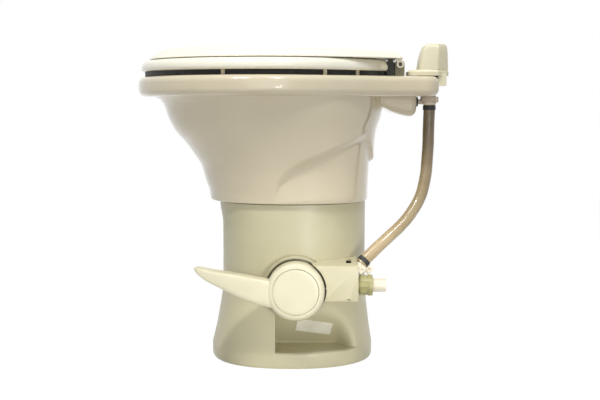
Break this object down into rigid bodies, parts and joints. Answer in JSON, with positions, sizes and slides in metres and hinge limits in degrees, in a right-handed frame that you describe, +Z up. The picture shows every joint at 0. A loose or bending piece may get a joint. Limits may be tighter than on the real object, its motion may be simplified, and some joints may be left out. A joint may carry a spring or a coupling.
{
  "type": "gravity flush toilet",
  "caption": "Travel-trailer gravity toilet: ceramic bowl with rear deck on a plastic pedestal, hinged seat and lid, foot pedal with flush ball, water valve, hose and vacuum breaker.",
  "frame": {"origin": "centre of the waste outlet at the floor plane", "axes": "-Y towards the bowl's front, +Z up, +X towards the pedal and water valve"},
  "size_m": [0.38, 0.4955, 0.5],
  "materials": {
    "china": "gloss",
    "shell": "satin",
    "ivory": "satin",
    "enamel": "gloss enamel",
    "rubber": "matte",
    "black": "satin",
    "steel": "satin",
    "vinyl": "clear, tan",
    "green": "satin",
    "white": "satin",
    "fitting": "satin",
    "label": "matte"
  },
  "bodies": {
    "root": {"bowl": "china", "pedestal": "shell", "skirt_strip": "rubber", "throat_clamp": "steel", "clamp_bolt": "steel", "ball_seal": "rubber", "floor_seal": "rubber", "near_bushing": "white", "far_bushing": "white", "spring_collar": "shell", "collar_screws": "steel", "return_spring": "steel", "valve_cover": "ivory", "valve_body": "green", "valve_screws": "steel", "inlet_screen": "steel", "inlet_stub": "white", "inlet_washer": "rubber", "hose_barb": "white", "supply_hose": "vinyl", "lower_hose_clamp": "rubber", "upper_hose_clamp": "rubber", "breaker_body": "ivory", "breaker_cover": "ivory", "breaker_gasket": "rubber", "outlet_fitting": "fitting", "breaker_nut": "white", "inlet_grommet": "rubber", "hinge_posts": "shell", "hinge_pins": "steel", "hinge_bolts": "steel", "hinge_nuts": "white", "label_plate": "label"},
    "seat": {"seat": "enamel", "seat_leaves": "black", "seat_bumpers": "white"},
    "lid": {"lid": "enamel", "lid_leaves": "white", "lid_bumpers": "white"},
    "pedal": {"pedal": "ivory", "pedal_cap": "ivory", "pedal_screw": "steel", "drive_shaft": "steel", "shaft_rings": "rubber", "flush_ball": "white", "ball_pins": "steel", "valve_cam": "white"},
    "plunger": {"valve_plunger": "steel", "plunger_seal": "rubber", "plunger_spring": "steel"},
    "float": {"breaker_float": "white"},
    "nut": {"inlet_nut": "green"}
  },
  "joints": [
    {"name": "seat_hinge", "type": "hinge", "parent": "root", "child": "seat", "pos_m": [0, 0.167, 0.466], "axis": [-1, 0, 0], "range_deg": [0, 96]},
    {"name": "lid_hinge", "type": "hinge", "parent": "seat", "child": "lid", "pos_m": [0, 0.167, 0.466], "axis": [1, 0, 0], "range_deg": [-96, 0]},
    {"name": "flush_pedal", "type": "hinge", "parent": "root", "child": "pedal", "pos_m": [0, 0.0065, 0.126], "axis": [1, 0, 0], "range_deg": [0, 64], "stiffness_Nm_per_rad": 1, "springref_deg": -60.16},
    {"name": "valve_plunger_slide", "type": "slide", "parent": "root", "child": "plunger", "axis": [0, 1, 0], "range_m": [0, 0.005], "deforming": ["plunger_spring"]},
    {"name": "float_lift", "type": "slide", "parent": "root", "child": "float", "axis": [0, 0, 1], "range_m": [0, 0.004]},
    {"name": "union_nut_turn", "type": "hinge", "parent": "root", "child": "nut", "pos_m": [0.128, 0.11, 0.131], "axis": [0, 1, 0], "continuous": true}
  ],
  "couplings": [
    {"joint": "valve_plunger_slide", "follows": "flush_pedal", "m_per_rad": 0.004476}
  ]
}
